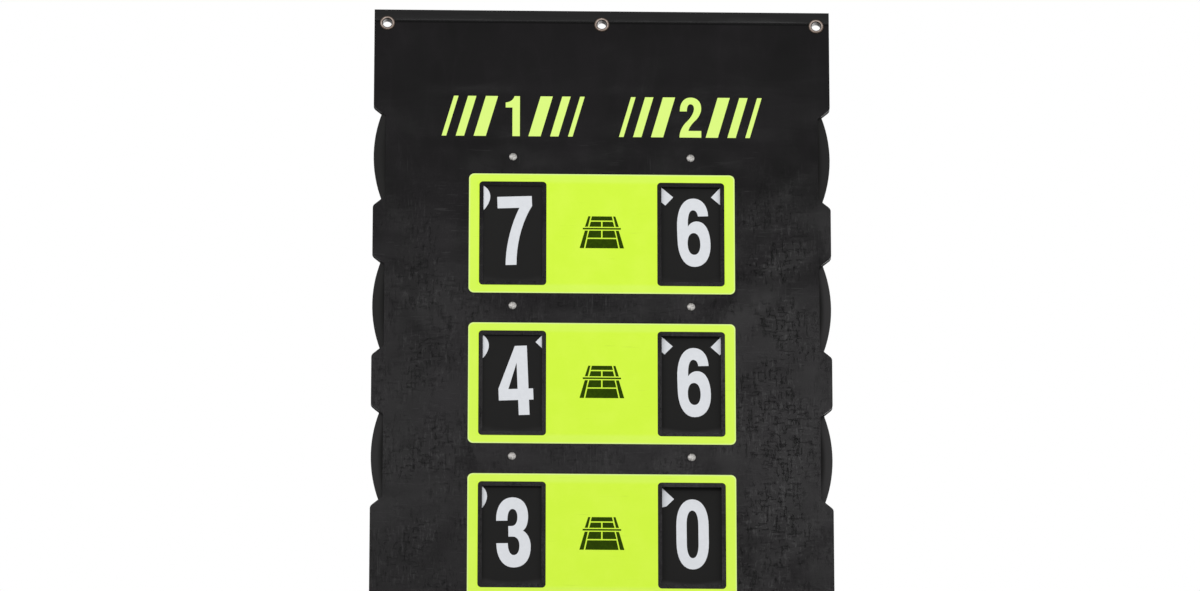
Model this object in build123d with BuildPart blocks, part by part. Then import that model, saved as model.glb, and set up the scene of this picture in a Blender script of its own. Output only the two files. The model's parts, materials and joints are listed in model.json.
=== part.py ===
"""Hanging tennis scoreboard with six number discs between two tarpaulin sheets.

The board hangs from three eyelets in its top hem. Each disc turns on a pivot
rivet and shows one number through a window in the front sheet. The disc's rim
stands in a recess in the board's edge, where a finger turns it. The discs lie
one behind another, because each overlaps the ones beside and below it.

Frame: millimetres, +X to the right, +Z up and the front towards -Y. The origin
is on the middle eyelet's axis, halfway through the space between the sheets.
"""

import os

from build123d import *

# Board
rows = 3
board_width = 600.0
sheet_thickness = 0.8
bottom_margin = 78.0  # below the last panel
column_offset = 116.5  # from the board's centre line to each column of pivots

# Number discs and the room they turn in
disc_thickness = 0.8
layer_gap = 0.4  # between neighbouring discs, and between a disc and a sheet
rim_inset = 0.5  # disc rim behind the board's side edge
first_rim_drop = 27.0  # from the top edge to the rim of the first discs
pivot_to_next_rim = 27.0  # a row's pivots clear the discs of the rows beside it
running_clearance = 0.1  # disc bore around its rivet

# Number windows
window_width = 77.0
window_to_rim = 8.0  # from a window's bottom edge to the rim of its disc
panel_gap_side = 5.5  # black border left and right between window and panel
panel_gap_end = 6.0  # black border above and below the window

# Coloured panels
panel_thickness = 0.3
panel_border_side = 13.5
panel_border_end = 11.0
panel_corner_radius = 7.0
panel_window_radius = 5.0
pivot_to_panel = 24.0  # from the pivots down to the panel's top edge

# Finger recesses in the side edges, level with the pivots
recess_depth = 16.0
recess_height = 114.0  # along its inner edge
recess_mouth = 141.0  # along the board's edge
recess_corner_radius = 7.0
cutter_overrun = 5.0  # how far the recess outline runs past the edge

# Top hem: the front sheet folds over the top and hangs behind the back sheet
hem_flap_height = 40.0
hem_fold_radius = 1.2

# Spacer strips that hold the sheets apart along the edges
end_strip_height = 34.0
side_strip_width = 14.0
strip_to_rim = 1.5  # all strips are cut round the discs

# Eyelets, each with a washer behind the hem
eyelet_count = 3
eyelet_drop = 20.0  # below the top edge
eyelet_inset = 17.0  # outer eyelets in from the side edges
eyelet_bore_radius = 6.0
eyelet_wall = 0.7
eyelet_flange_radius = 10.0
eyelet_crest_radius = 7.8  # highest ring of the flange
eyelet_crest_height = 1.6
eyelet_lip_height = 0.8  # where the flange turns into the bore
eyelet_roll_width = 2.4
eyelet_roll_height = 1.0
eyelet_washer_thickness = 0.8
eyelet_clearance = 0.1  # around the barrel, in the sheets, strip and washer

# Pivot rivets, with a cap at each end
rivet_radius = 2.5
rivet_clearance = 0.1  # around the rivet, in the sheets
rivet_cap_radius = 5.25
rivet_crown_radius = 3.4
rivet_cap_height = 1.9

# Places across the board
disc_radius = board_width / 2 - column_offset - rim_inset
row_pitch = disc_radius + pivot_to_next_rim
first_pivot_drop = first_rim_drop + disc_radius
window_top_drop = pivot_to_panel + panel_border_end + panel_gap_end
window_height = disc_radius - window_to_rim - window_top_drop
window_drop = window_top_drop + window_height / 2
panel_window_width = window_width + 2 * panel_gap_side
panel_window_height = window_height + 2 * panel_gap_end
panel_width = 2 * (column_offset + panel_window_width / 2 + panel_border_side)
panel_height = panel_window_height + 2 * panel_border_end

# Heights in the frame
top_edge = eyelet_drop
inner_top = top_edge - sheet_thickness  # under the hem's fold
pivot_heights = [top_edge - first_pivot_drop - row * row_pitch for row in range(rows)]
bottom_edge = pivot_heights[-1] - window_drop - panel_height / 2 - bottom_margin
board_height = top_edge - bottom_edge

sides = {"left": -1, "right": 1}
pivots = [(side * column_offset, z) for z in pivot_heights for side in sides.values()]
eyelet_pitch = (board_width - 2 * eyelet_inset) / (eyelet_count - 1)
eyelet_places = [(n - (eyelet_count - 1) / 2) * eyelet_pitch for n in range(eyelet_count)]
eyelet_barrel_radius = eyelet_bore_radius + eyelet_wall

# Depths, measured from the frame's origin towards the front. The last left disc
# and the first right one don't meet, so they share a layer
disc_layers = rows * len(sides) - 1
layer_pitch = disc_thickness + layer_gap
cavity_depth = disc_layers * layer_pitch + layer_gap
cavity_front = cavity_depth / 2
cavity_back = -cavity_depth / 2
front_face = cavity_front + sheet_thickness
back_face = cavity_back - sheet_thickness
flap_face = back_face - sheet_thickness


def facing(depth):
    """Plane across the board at this depth, with its normal towards the front."""
    return Plane.XZ.offset(depth)


def draw_board(top):
    """Draw the board's outline up to the height top, with its finger recesses."""
    with Locations((0, (top + bottom_edge) / 2)):
        Rectangle(board_width, top - bottom_edge)
    for side in sides.values():
        for z in pivot_heights:
            with Locations((side * board_width / 2, z)):
                Polygon(
                    (side * cutter_overrun, -recess_mouth / 2),
                    (side * cutter_overrun, recess_mouth / 2),
                    (0, recess_mouth / 2),
                    (-side * recess_depth, recess_height / 2),
                    (-side * recess_depth, -recess_height / 2),
                    (0, -recess_mouth / 2),
                    align=None,
                    mode=Mode.SUBTRACT,
                )
    mouth_corners = vertices().filter_by(
        lambda v: any(
            abs(abs(v.X) - board_width / 2) < rim_inset
            and abs(abs(v.Y - z) - recess_mouth / 2) < rim_inset
            for z in pivot_heights
        )
    )
    fillet(mouth_corners, recess_corner_radius)


def pierce_eyelets():
    """Cut the eyelets' holes out of the open sketch."""
    with GridLocations(eyelet_pitch, 1, eyelet_count, 1):
        Circle(eyelet_barrel_radius + eyelet_clearance, mode=Mode.SUBTRACT)


def pierce_pivots():
    """Cut the rivets' holes out of the open sketch."""
    with Locations(*pivots):
        Circle(rivet_radius + rivet_clearance, mode=Mode.SUBTRACT)


def clear_discs():
    """Cut the room that the discs turn in out of the open sketch."""
    with Locations(*pivots):
        Circle(disc_radius + strip_to_rim, mode=Mode.SUBTRACT)


def save(piece, name):
    """Label a finished piece and write it."""
    piece.part.label = name
    export_step(piece.part, f"parts/{name}.step")


os.makedirs("parts", exist_ok=True)


# Front sheet: a flat face with the number windows, folded over the top
with BuildPart() as front_sheet:
    with BuildSketch(facing(cavity_front)):
        draw_board(top_edge)
        pierce_pivots()
        with Locations(*[(x, z - window_drop) for x, z in pivots]):
            Rectangle(window_width, window_height, mode=Mode.SUBTRACT)
    extrude(amount=sheet_thickness)
    with BuildSketch(Plane.YZ):
        with Locations((-(front_face + flap_face) / 2, top_edge)):
            Rectangle(front_face - flap_face, sheet_thickness, align=(Align.CENTER, Align.MAX))
        with Locations((-flap_face, top_edge)):
            Rectangle(sheet_thickness, hem_flap_height, align=(Align.MAX, Align.MAX))
    extrude(amount=board_width / 2, both=True)
    fold = edges().filter_by(Axis.X).group_by(Axis.Z)[-1]
    fillet(fold, hem_fold_radius)
    with BuildSketch(facing(0)):
        with GridLocations(eyelet_pitch, 1, eyelet_count, 1):
            Circle(eyelet_barrel_radius + eyelet_clearance)
    extrude(amount=front_face - flap_face, both=True, mode=Mode.SUBTRACT)
save(front_sheet, "front_sheet")


# Back sheet: the same outline with no windows, its top edge under the fold
with BuildPart() as back_sheet:
    with BuildSketch(facing(back_face)):
        draw_board(inner_top)
        pierce_pivots()
        pierce_eyelets()
    extrude(amount=sheet_thickness)
save(back_sheet, "back_sheet")


# Strips between the sheets along the top and the bottom edge. The eyelets pass
# through the top one
with BuildPart() as top_spacer_strip:
    with BuildSketch(facing(cavity_back)):
        with Locations((0, inner_top)):
            Rectangle(
                board_width,
                inner_top - top_edge + end_strip_height,
                align=(Align.CENTER, Align.MAX),
            )
        pierce_eyelets()
        clear_discs()
    extrude(amount=cavity_depth)
save(top_spacer_strip, "top_spacer_strip")

with BuildPart() as bottom_spacer_strip:
    with BuildSketch(facing(cavity_back)):
        with Locations((0, bottom_edge)):
            Rectangle(board_width, end_strip_height, align=(Align.CENTER, Align.MIN))
        clear_discs()
    extrude(amount=cavity_depth)
save(bottom_spacer_strip, "bottom_spacer_strip")


# Side spacers: short strips between the end strips and the finger recesses
spacer_ends = [top_edge - end_strip_height, *pivot_heights, bottom_edge + end_strip_height]
for number in range(1, len(spacer_ends)):
    high, low = spacer_ends[number - 1 : number + 1]
    for side_name, side in sides.items():
        with BuildPart() as side_spacer:
            with BuildSketch(facing(cavity_back)):
                draw_board(inner_top)
                with Locations((side * (board_width - side_strip_width) / 2, (high + low) / 2)):
                    Rectangle(side_strip_width, high - low, mode=Mode.INTERSECT)
                clear_discs()
            extrude(amount=cavity_depth)
        save(side_spacer, f"{side_name}_side_spacer_{number}")


# Coloured panels: one film for each row, with a larger window round each opening
for row, z in enumerate(pivot_heights, start=1):
    with BuildPart() as score_panel:
        with BuildSketch(facing(front_face)):
            with Locations((0, z - window_drop)):
                RectangleRounded(panel_width, panel_height, panel_corner_radius)
                with GridLocations(2 * column_offset, 1, 2, 1):
                    RectangleRounded(
                        panel_window_width,
                        panel_window_height,
                        panel_window_radius,
                        mode=Mode.SUBTRACT,
                    )
        extrude(amount=panel_thickness)
    save(score_panel, f"score_panel_{row}")


# Number discs, each behind the ones above it, and the right column's behind the
# left column's
for row, z in enumerate(pivot_heights):
    for column, (side_name, side) in enumerate(sides.items()):
        layer = row + column * (rows - 1)
        with BuildPart() as number_disc:
            with BuildSketch(facing(cavity_front - (layer + 1) * layer_pitch)):
                with Locations((side * column_offset, z)):
                    Circle(disc_radius)
                    Circle(rivet_radius + running_clearance, mode=Mode.SUBTRACT)
            extrude(amount=disc_thickness)
        save(number_disc, f"{side_name}_number_disc_{row + 1}")


# Pivot rivets: a shank through both sheets and a domed cap on each
with BuildPart() as pivot_rivets:
    for x, z in pivots:
        with BuildSketch(Plane(origin=(x, 0, z), x_dir=(1, 0, 0), z_dir=(0, 0, 1))):
            Polygon(
                (0, -front_face - rivet_cap_height),
                (rivet_crown_radius, -front_face - rivet_cap_height),
                (rivet_cap_radius, -front_face),
                (rivet_radius, -front_face),
                (rivet_radius, -back_face),
                (rivet_cap_radius, -back_face),
                (rivet_crown_radius, -back_face + rivet_cap_height),
                (0, -back_face + rivet_cap_height),
                align=None,
            )
        revolve(axis=Axis((x, 0, z), (0, 1, 0)))
save(pivot_rivets, "pivot_rivets")


# Eyelets: a crowned flange in front, a barrel through the hem and a roll behind
roll_start = eyelet_washer_thickness - flap_face
with BuildPart() as eyelets:
    for x in eyelet_places:
        with BuildSketch(Plane(origin=(x, 0, 0), x_dir=(1, 0, 0), z_dir=(0, 0, 1))):
            Polygon(
                (eyelet_bore_radius, -front_face - eyelet_lip_height),
                (eyelet_crest_radius, -front_face - eyelet_crest_height),
                (eyelet_flange_radius, -front_face),
                (eyelet_barrel_radius, -front_face),
                (eyelet_barrel_radius, roll_start),
                (eyelet_bore_radius + eyelet_roll_width, roll_start),
                (eyelet_bore_radius, roll_start + eyelet_roll_height),
                align=None,
            )
        revolve(axis=Axis((x, 0, 0), (0, 1, 0)))
save(eyelets, "eyelets")


# Eyelet washers behind the hem flap, held by the roll
with BuildPart() as eyelet_washers:
    with BuildSketch(facing(flap_face - eyelet_washer_thickness)):
        with GridLocations(eyelet_pitch, 1, eyelet_count, 1):
            Circle(eyelet_flange_radius)
            Circle(eyelet_barrel_radius + eyelet_clearance, mode=Mode.SUBTRACT)
    extrude(amount=eyelet_washer_thickness)
save(eyelet_washers, "eyelet_washers")


print(f"board {board_width:.1f} wide, {board_height:.1f} high")
print(f"disc radius {disc_radius:.1f}, row pitch {row_pitch:.1f}, windows {window_height:.1f} high")
print(f"thickness at the sheets {front_face - back_face:.1f}")
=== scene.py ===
"""Hanging tennis scoreboard: tarpaulin, panels, number discs, rivets and eyelets.

Metres throughout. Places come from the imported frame, whose origin is on the middle
eyelet's axis, with +X to the right, +Z up and the front towards -Y.
"""

import json
import math

import bmesh
import bpy
import numpy as np
from bpy.props import FloatProperty, FloatVectorProperty, IntProperty, PointerProperty
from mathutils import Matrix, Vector
from mathutils.geometry import tessellate_polygon


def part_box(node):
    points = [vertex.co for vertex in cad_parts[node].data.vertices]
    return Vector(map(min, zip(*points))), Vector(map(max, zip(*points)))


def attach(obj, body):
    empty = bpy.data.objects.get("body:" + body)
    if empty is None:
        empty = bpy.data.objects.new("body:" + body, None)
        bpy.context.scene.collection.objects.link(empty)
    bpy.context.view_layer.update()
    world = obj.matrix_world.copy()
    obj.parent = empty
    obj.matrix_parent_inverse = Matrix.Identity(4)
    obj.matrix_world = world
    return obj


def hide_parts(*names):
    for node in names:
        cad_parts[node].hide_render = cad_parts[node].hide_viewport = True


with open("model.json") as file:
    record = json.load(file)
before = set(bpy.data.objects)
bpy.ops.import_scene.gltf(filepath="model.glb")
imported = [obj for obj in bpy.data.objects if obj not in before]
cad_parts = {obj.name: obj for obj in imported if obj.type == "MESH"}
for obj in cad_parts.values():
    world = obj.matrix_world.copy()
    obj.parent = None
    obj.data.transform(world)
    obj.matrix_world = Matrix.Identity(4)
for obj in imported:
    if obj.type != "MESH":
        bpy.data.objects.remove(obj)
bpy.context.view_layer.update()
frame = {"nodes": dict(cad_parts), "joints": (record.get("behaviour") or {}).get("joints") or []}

bl_info = {
    "name": "Hanging Tennis Scoreboard",
    "version": (1, 0, 0),
    "blender": (4, 5, 0),
    "location": "View3D > Sidebar > Scoreboard",
    "description": "Dresses the packed scoreboard with cloth, prints and metal",
    "category": "Object",
}

SIDES = {"left": -1, "right": 1}
ROWS = (1, 2, 3)
FULL_TURN = 2 * math.pi
MM = 0.001

# Depths nearer than this many metres are the same
SAME = 1e-9

# Edges with a wider angle than this many degrees look hard, on cloth and on welded pieces
CLOTH_SHARP, WELDED_SHARP = 40, 50

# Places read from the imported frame
board_low, board_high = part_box("front_sheet")
back_low, back_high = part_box("back_sheet")
eyelet_low, eyelet_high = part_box("eyelets")
washer_low, washer_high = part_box("eyelet_washers")
rivet_low, rivet_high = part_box("pivot_rivets")
PIVOTS = {joint["child"]: Vector(joint["pos_m"]) for joint in frame["joints"]}
ROW_HEIGHTS = [PIVOTS[f"left_disc_{row}"].z for row in ROWS]
COLUMN = PIVOTS["right_disc_1"].x
COLUMNS = (-COLUMN, COLUMN)

# The sheets' columns of points stand upright this far from the centre line. Beyond it
# they lean with the outline.
STRAIGHT = 262 * MM

# The headings' bars, from a column's middle outwards: how far away and how wide, and
# how far from the centre line the cloth lies flat under them
HEADING_BARS = ((36 * MM, 16 * MM), (62 * MM, 11 * MM), (83 * MM, 6 * MM))
HEADINGS_REACH = 225 * MM

# Room before and behind each foam strip
STRIP_ROOM = 0.05 * MM

# Lengths of the cloth's slow waves in metres, and about their sum
WAVES, WAVES_SUM = (0.42, 0.30, 0.21, 0.15, 0.105), 1.2

# How far the rim of each disc is painted lighter, from 0 to 1: finger wear, and a painted
# highlight that offsets the shade under the sheet's edge at the recesses
RIM_WEAR_AND_HIGHLIGHT = {
    "left_disc_1": 0.10, "left_disc_2": 0.18, "left_disc_3": 0.58,
    "right_disc_1": 0.10, "right_disc_2": 0.85, "right_disc_3": 1.00,
}


# ---- Sizes and colours ----


def length(name, text, value):
    """A size in metres, shown in the scene's unit."""
    return FloatProperty(
        name=name, description=text, default=value, min=0.0, precision=4,
        subtype="DISTANCE", unit="LENGTH",
    )


def colour(name, text, value):
    """A colour in scene-linear values."""
    return FloatVectorProperty(
        name=name, description=text, default=value, size=3, min=0.0, max=1.0, subtype="COLOR",
    )


def brightness(name, text, value, kind="POWER"):
    """A lamp's power in watts, or with the kind NONE the strength of light from all round."""
    return FloatProperty(
        name=name, description=text, default=value, min=0.0, subtype=kind, unit=kind,
    )


class ScoreboardSizes(bpy.types.PropertyGroup):
    """Sizes of the cloth, the prints and the metal parts"""

    sheet: length("Sheet", "Thickness of the tarpaulin", 0.8 * MM)
    mesh_step: length("Mesh Step", "Distance between the sheets' points", 6 * MM)
    swell: length("Swell", "How far the cloth's slow waves stand out", 0.7 * MM)
    fold_radius: length("Fold Radius", "Outer radius of the hem's folds", 1.6 * MM)
    hem_drop: length("Hem Drop", "From the top edge down to the welded hem line", 16 * MM)
    hem_puff: length("Hem Puff", "How far the hem stands out above its line", 0.5 * MM)
    flap: length("Flap", "Height of the hem's flap behind the board", 40 * MM)
    window_width: length("Window Width", "Width of a number window", 77 * MM)
    window_height: length("Window Height", "Height of a number window", 134 * MM)
    window_drop: length("Window Drop", "From a pivot down to its window's centre", 108 * MM)
    recess_depth: length("Recess Depth", "Depth of the finger recesses", 16 * MM)
    recess_height: length("Recess Height", "Height of a recess along its inner edge", 114 * MM)
    recess_mouth: length("Recess Mouth", "Height of a recess along the board's edge", 141 * MM)
    recess_round: length("Recess Round", "Radius of the corners at a recess's mouth", 7 * MM)
    eyelet_hole: length("Eyelet Hole", "Half the square cut under each eyelet's flange", 6.9 * MM)
    print_thickness: length("Print", "Thickness of the printed numerals and signs", 0.12 * MM)
    numeral_reach: length("Numeral Reach", "From a pivot to a numeral's foot", 152.2 * MM)
    numeral_height: length("Numeral Height", "Height of the numerals", 96.5 * MM)
    heading_rise: length("Heading Rise", "From the first pivots up to the headings", 29.6 * MM)
    heading_height: length("Heading Height", "Height of the headings", 57 * MM)
    emblem_drop: length("Emblem Drop", "From a panel's top to its emblem's centre", 82 * MM)
    emblem_width: length("Emblem Width", "Width of the court emblem", 60 * MM)
    disc_radius: length("Disc Radius", "Radius of the number discs", 183 * MM)
    strip_gap: length("Strip Gap", "Room between the discs and the foam strips", 1.5 * MM)
    lathe_sides: IntProperty(
        name="Lathe Sides", description="Points round each rivet and eyelet", default=72, min=12,
    )


class ScoreboardColours(bpy.types.PropertyGroup):
    """Colours of the finishes"""

    tarpaulin: colour("Tarpaulin", "Coated cloth of both sheets", (0.0076, 0.0073, 0.0075))
    # Paler cloth: wear, and the painted sheen towards the bottom
    tarpaulin_wear_and_sheen: colour("Worn Tarpaulin", "Cloth gone grey", (0.0128, 0.0113, 0.0127))
    # Painted highlight: the hem's fold is painted paler than the cloth
    hem: colour("Hem", "Folded hem above its welded line", (0.0180, 0.0178, 0.0180))
    scuff: colour("Scuff", "Fine scratches in the cloth's coat", (0.034, 0.033, 0.034))
    disc: colour("Disc", "Number discs", (0.0118, 0.0116, 0.0113))
    # Paler disc: rub marks, and the painted highlight along the rim
    disc_rubbed_and_highlight: colour("Worn Disc", "Rub marks on the discs", (0.0300, 0.0290, 0.0295))
    film: colour("Film", "Coloured panels and headings", (0.655, 0.950, 0.043))
    film_pale: colour("Pale Film", "Lighter patches of the film", (0.712, 0.980, 0.073))
    # Paler film: the painted highlight along the panels' cut edges, and the thin print of the
    # headings
    film_edge: colour("Film Edge", "Cut edge of the panels", (0.800, 0.960, 0.420))
    numeral: colour("Numeral", "Printed numerals", (0.740, 0.760, 0.796))
    emblem: colour("Emblem", "Printed court on each panel", (0.0215, 0.0470, 0.0006))
    foam: colour("Foam", "Strips between the sheets", (0.014, 0.014, 0.014))
    steel: colour("Steel", "Plated rivets", (0.41, 0.398, 0.383))
    brass: colour("Eyelet Brown", "Coppery part of the eyelets", (0.095, 0.072, 0.058))
    # Paler eyelet: rubbed bare, and the painted highlight on the crest
    brass_rubbed_and_highlight: colour("Eyelet Silver", "Eyelets where they are rubbed bare", (0.30, 0.252, 0.225))
    floor: colour("Floor", "Pale floor under the board", (0.80, 0.80, 0.80))


class ScoreboardStage(bpy.types.PropertyGroup):
    """Camera, floor and lamps"""

    distance: length("Camera Distance", "From the camera to its target", 12.0)
    elevation: FloatProperty(
        name="Camera Elevation", description="Camera's height above the horizon",
        default=math.radians(-21.785), subtype="ANGLE", unit="ROTATION",
    )
    azimuth: FloatProperty(
        name="Camera Azimuth", description="Camera's turn round the board",
        default=math.radians(-1.238), subtype="ANGLE", unit="ROTATION",
    )
    target: FloatVectorProperty(
        name="Camera Target", description="Point at the picture's centre",
        default=(-0.0024, -0.0040, -0.3849), size=3, subtype="TRANSLATION", unit="LENGTH",
    )
    lens: FloatProperty(
        name="Focal Length", description="Camera's focal length in millimetres",
        default=275.9, min=1.0, subtype="DISTANCE_CAMERA", unit="CAMERA",
    )
    floor_drop: length("Floor", "From the eyelets down to the floor", 1.9)
    floor_radius: length("Floor Radius", "Radius of the round floor", 2.1)
    sky: brightness("Sky", "Strength of the even light from all round", 0.62, "NONE")
    key: brightness("Key", "Power of the main lamp", 12.0)
    fill: brightness("Fill", "Power of the second lamp", 7.0)
    sheen: brightness("Sheen", "Power of the two small lamps that the cloth reflects", 13.5)
    behind: brightness("Behind", "Power of the lamp behind the board", 60.0)


# ---- Materials ----


class Wire:
    """A value on its way through a tree of nodes. Python's operators add Math nodes."""

    def __init__(self, nodes, socket):
        self.nodes = nodes
        self.socket = socket

    def math(self, operation, *values):
        """Math node with this operation on this value and the others."""
        return self.nodes.node("ShaderNodeMath", {"operation": operation}, (self, *values))

    def turned(self, operation, other):
        """Math node with this operation on another value and this one."""
        return self.nodes.node("ShaderNodeMath", {"operation": operation}, (other, self))

    def __add__(self, other):
        return self.math("ADD", other)

    def __radd__(self, other):
        return self.turned("ADD", other)

    def __sub__(self, other):
        return self.math("SUBTRACT", other)

    def __rsub__(self, other):
        return self.turned("SUBTRACT", other)

    def __mul__(self, other):
        return self.math("MULTIPLY", other)

    def __rmul__(self, other):
        return self.turned("MULTIPLY", other)

    def __pow__(self, other):
        return self.math("POWER", other)

    def __rpow__(self, other):
        return self.turned("POWER", other)

    def __abs__(self):
        return self.math("ABSOLUTE")

    def sine(self):
        """Sine of the value, in radians."""
        return self.math("SINE")

    def over(self, low, high):
        """Smooth step: 0 below low, 1 above high. It falls where low is above high."""
        return self.nodes.node(
            "ShaderNodeMapRange", {"interpolation_type": "SMOOTHSTEP"},
            {"Value": self, "From Min": low, "From Max": high},
        )


class Nodes:
    """A tree of nodes, and the one way in which nodes are added to it."""

    def __init__(self, tree):
        self.tree = tree

    def node(self, kind, settings, values, output=0):
        """A node of this kind. Settings come first, then its sockets' values or wires."""
        made = self.tree.nodes.new(kind)
        for name, value in settings.items():
            setattr(made, name, value)
        pairs = values.items() if isinstance(values, dict) else enumerate(values)
        for key, value in pairs:
            if isinstance(value, Wire):
                self.tree.links.new(value.socket, made.inputs[key])
            else:
                made.inputs[key].default_value = value
        return Wire(self, made.outputs[output])


class Finish(Nodes):
    """One material: makes its nodes, and joins them to its Principled shader."""

    def __init__(self, name, roughness=0.5, metallic=0.0, specular=0.5):
        self.material = bpy.data.materials.new(name)
        self.material.use_nodes = True
        super().__init__(self.material.node_tree)
        self.shader = self.tree.nodes["Principled BSDF"]
        self.shader.inputs["Roughness"].default_value = roughness
        self.shader.inputs["Metallic"].default_value = metallic
        self.shader.inputs["Specular IOR Level"].default_value = specular

    def place(self, centre=(0.0, 0.0, 0.0), scale=(1.0, 1.0, 1.0), turn=(0.0, 0.0, 0.0)):
        """Object coordinates, moved so that centre is their origin, then turned and scaled."""
        spot = self.node("ShaderNodeTexCoord", {}, {}, "Object")
        moved = self.node(
            "ShaderNodeVectorMath", {"operation": "SUBTRACT"}, [spot, centre],
        )
        return self.node(
            "ShaderNodeMapping", {}, {"Vector": moved, "Scale": scale, "Rotation": turn},
        )

    def stretched(self, x_scale, z_scale, turn=0.0):
        """Object coordinates turned in the board's plane, then scaled. A pattern gets
        longer the way in which the scale is small."""
        return self.place(scale=(x_scale, 1.0, z_scale), turn=(0.0, turn, 0.0))

    def attribute(self, name, scale=(1.0, 1.0, 1.0)):
        """The mesh's own vector attribute, scaled."""
        found = self.node("ShaderNodeAttribute", {"attribute_name": name}, {}, "Vector")
        return self.node("ShaderNodeMapping", {}, {"Vector": found, "Scale": scale})

    def parts(self, vector):
        """The three numbers of a vector."""
        split = self.node("ShaderNodeSeparateXYZ", {}, [vector]).socket.node
        return [Wire(self, split.outputs[n]) for n in range(3)]

    def noise(self, vector, scale, detail=2.0, rough=0.5, distortion=0.0):
        """Cloudy pattern from 0 to 1."""
        return self.node(
            "ShaderNodeTexNoise", {},
            {"Vector": vector, "Scale": scale, "Detail": detail, "Roughness": rough,
             "Distortion": distortion},
        )

    def cells(self, vector, scale):
        """Distance to the nearest of scattered points, as in foam."""
        return self.node("ShaderNodeTexVoronoi", {}, {"Vector": vector, "Scale": scale})

    def blend(self, factor, first, second):
        """Colour between first and second. Either is a colour or a wire. The Mix node's
        sockets for colours are its inputs 6 and 7 and its output 2."""
        ends = [c if isinstance(c, Wire) else (*c, 1.0) for c in (first, second)]
        return self.node(
            "ShaderNodeMix", {"data_type": "RGBA"}, {0: factor, 6: ends[0], 7: ends[1]}, 2,
        )

    def paint(self, **wires):
        """Join wires to the shader: base, roughness, metallic."""
        names = {"base": "Base Color", "roughness": "Roughness", "metallic": "Metallic"}
        for key, wire in wires.items():
            self.tree.links.new(wire.socket, self.shader.inputs[names[key]])

    def emboss(self, height):
        """Bump from a height in millimetres."""
        bump = self.node(
            "ShaderNodeBump", {}, {"Strength": 1.0, "Distance": MM, "Height": height},
        )
        self.tree.links.new(bump.socket, self.shader.inputs["Normal"])


def times(factor, shade):
    """A colour made brighter or darker by a factor."""
    return tuple(factor * part for part in shade)


def tarpaulin_finish(colours, sizes):
    """Coated cloth: a fine scrim under a satin coat, slow waves, creases, scuffs and scratches,
    and a painted sheen that makes it paler towards the bottom. The folded hem is painted
    paler as a highlight down to its welded line, with a painted shadow under that line."""
    finish = Finish("coated_cloth", specular=0.05)
    spot = finish.place()
    x, y, z = finish.parts(spot)
    # Black of the pits, and of the painted shadow under the hem's line
    pit_black_and_shadow = (0.002, 0.002, 0.002)
    # Scrim, clouds and creases: a crease is where a noise passes its middle
    thread = FULL_TURN / (1.3 * MM)
    scrim = (x * thread).sine() * (z * thread).sine()
    grain = finish.noise(spot, 900, 3.0, 0.6)
    clouds = finish.noise(finish.stretched(1.0, 0.7), 9, 4.0, 0.55, 0.4)
    drape = finish.noise(finish.stretched(1.0, 0.8, 0.2), 8, 2.0, 0.45, 0.3)
    folds = finish.noise(finish.stretched(1.0, 0.35, 0.3), 16, 3.0, 0.5, 1.2)
    crease = (1.0 - abs(folds * 2.0 - 1.0)) ** 14.0
    across = finish.noise(finish.stretched(0.3, 1.0, -0.25), 22, 2.0, 0.5, 0.8)
    crease_across = (1.0 - abs(across * 2.0 - 1.0)) ** 18.0
    # Fine scratches in patches, from the headings down
    patches = finish.noise(spot, 14, 2.0, 0.6)
    streaks = finish.noise(finish.stretched(1.0, 0.05, 0.12), 420, 2.0, 0.6)
    drags = finish.noise(finish.stretched(0.08, 1.0, 0.05), 380, 2.0, 0.6)
    scuffs = streaks.over(0.60, 0.72) * patches.over(0.50, 0.64)
    scuffs = scuffs + drags.over(0.60, 0.72) * patches.over(0.48, 0.36)
    scuffs = scuffs * z.over(-0.10, -0.24)
    speckle = finish.noise(finish.stretched(1.0, 0.5), 420, 3.0, 0.7)
    crazing = speckle.over(0.54, 0.66) * clouds.over(0.44, 0.60) * z.over(-0.14, -0.30)
    # Pits and flecks along the threads, most of them beside the panels on the right
    ticks = finish.noise(finish.stretched(1.0, 0.24, 0.03), 330, 2.0, 0.6)
    rungs = finish.noise(finish.stretched(0.26, 1.0), 330, 2.0, 0.6)
    beside = abs(x).over(0.14, 0.19) * abs(x).over(0.285, 0.245)
    beside = beside * (0.35 + x.over(-0.05, 0.15) * 0.55)
    rough = patches.over(0.34, 0.56) * z.over(-0.16, -0.36) * (0.60 + beside)
    pits = (ticks.over(0.41, 0.35) + rungs.over(0.40, 0.34) * 0.7) * rough
    flecks = (ticks.over(0.60, 0.66) + rungs.over(0.61, 0.67) * 0.7) * rough
    # The hem in front, painted paler as a highlight, and the painted shadow under its line
    seam_height = board_high.z - sizes.hem_drop
    in_front = y.over(0.0, -1.0 * MM)
    hem = z.over(seam_height - 0.2 * MM, seam_height + 0.6 * MM) * in_front
    shadow = abs(z - (seam_height - 1.4 * MM)).over(2.4 * MM, 0.6 * MM) * in_front

    # Paler in cloudy patches and along creases as wear, and towards the bottom as painted sheen
    paling = clouds.over(0.30, 0.78) * 0.55 + crease * 0.25 + z.over(-0.22, -0.38) * 0.25
    base = finish.blend(paling, colours.tarpaulin, colours.tarpaulin_wear_and_sheen)
    # Painted highlight on the hem above its welded line
    base = finish.blend(hem * (0.5 + drags * 0.8), base, colours.hem)
    base = finish.blend(scuffs * 0.5 + crazing * 0.22 + flecks * 0.5, base, colours.scuff)
    base = finish.blend(pits * 0.9, base, pit_black_and_shadow)
    # Painted shadow under the hem's welded line
    base = finish.blend(shadow * 0.85, base, pit_black_and_shadow)
    finish.paint(base=base, roughness=0.175 + clouds * 0.06 + grain * 0.04 + scuffs * 0.12)
    relief = scrim * 0.010 + grain * 0.022 + drape * 6.5 + folds * 0.2 + crease * 0.03
    relief = relief + crease_across * 0.03 + across * 0.2 + crazing * 0.03
    finish.emboss(relief - shadow * 0.3 - pits * 0.12)
    return finish.material


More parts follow.
